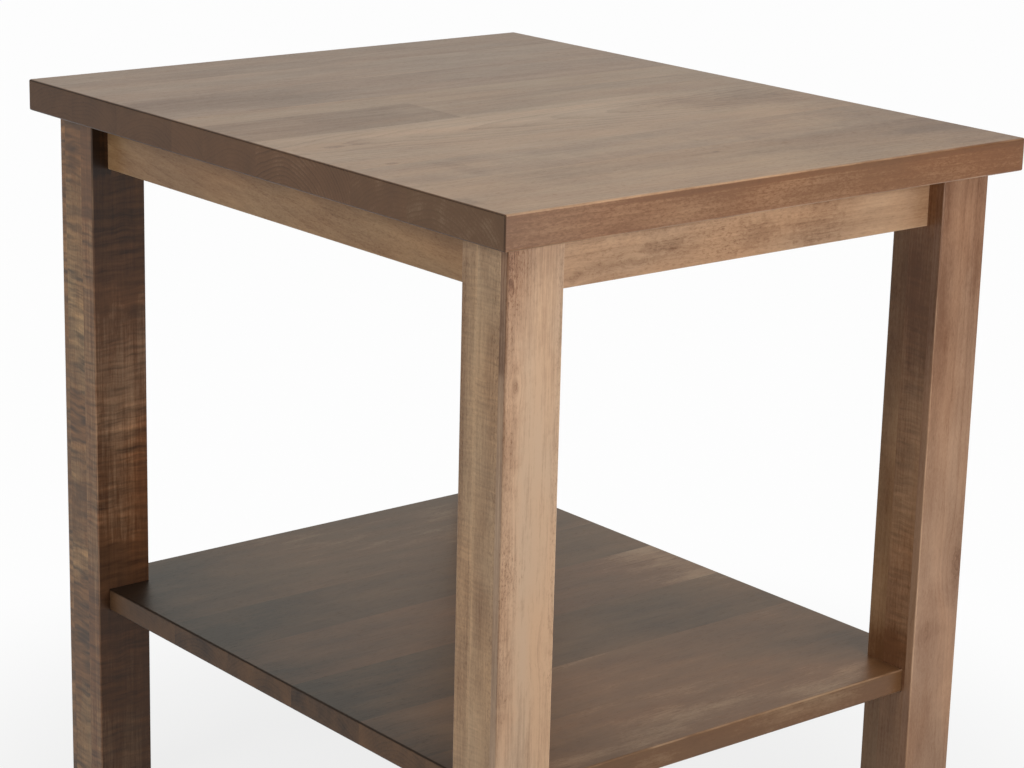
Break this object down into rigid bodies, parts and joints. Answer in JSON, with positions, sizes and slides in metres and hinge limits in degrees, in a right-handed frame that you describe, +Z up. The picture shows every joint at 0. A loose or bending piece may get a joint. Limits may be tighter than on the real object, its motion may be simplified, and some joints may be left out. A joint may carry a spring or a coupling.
{
  "type": "end table with shelf",
  "caption": "Square-legged wooden end table with a thick overhanging top on set-back aprons and a low shelf notched around the legs.",
  "frame": {"origin": "on the floor, under the middle of the top", "axes": "+Z up; +X along the grain of the top and shelf; -Y is the front, the narrower side of the table"},
  "size_m": [0.508, 0.616, 0.61],
  "materials": {
    "top_maple": "stained maple under satin lacquer",
    "shelf_maple": "stained maple under satin lacquer",
    "leg_maple": "stained maple under satin lacquer",
    "apron_maple": "stained maple under satin lacquer",
    "block_maple": "bare planed maple",
    "zinc_steel": "zinc plated",
    "glide_nylon": "moulded nylon"
  },
  "bodies": {
    "root": {"top_board_1": "top_maple", "top_board_2": "top_maple", "top_board_3": "top_maple", "top_board_4": "top_maple", "top_board_5": "top_maple", "top_board_6": "top_maple", "top_board_7": "top_maple", "top_board_8": "top_maple", "shelf_board_1": "shelf_maple", "shelf_board_2": "shelf_maple", "shelf_board_3": "shelf_maple", "shelf_board_4": "shelf_maple", "shelf_board_5": "shelf_maple", "shelf_board_6": "shelf_maple", "shelf_board_7": "shelf_maple", "front_left_leg_outer_stave": "leg_maple", "front_left_leg_core_stave": "leg_maple", "front_left_leg_inner_stave": "leg_maple", "front_right_leg_outer_stave": "leg_maple", "front_right_leg_core_stave": "leg_maple", "front_right_leg_inner_stave": "leg_maple", "back_right_leg_outer_stave": "leg_maple", "back_right_leg_core_stave": "leg_maple", "back_right_leg_inner_stave": "leg_maple", "back_left_leg_outer_stave": "leg_maple", "back_left_leg_core_stave": "leg_maple", "back_left_leg_inner_stave": "leg_maple", "front_apron": "apron_maple", "right_apron": "apron_maple", "back_apron": "apron_maple", "left_apron": "apron_maple", "front_left_corner_block": "block_maple", "front_right_corner_block": "block_maple", "back_right_corner_block": "block_maple", "back_left_corner_block": "block_maple", "front_apron_button_1": "block_maple", "front_apron_button_2": "block_maple", "right_apron_button_1": "block_maple", "right_apron_button_2": "block_maple", "back_apron_button_1": "block_maple", "back_apron_button_2": "block_maple", "left_apron_button_1": "block_maple", "left_apron_button_2": "block_maple", "corner_block_screws": "zinc_steel", "button_screws": "zinc_steel", "front_left_glide": "glide_nylon", "front_right_glide": "glide_nylon", "back_right_glide": "glide_nylon", "back_left_glide": "glide_nylon"}
  },
  "joints": []
}
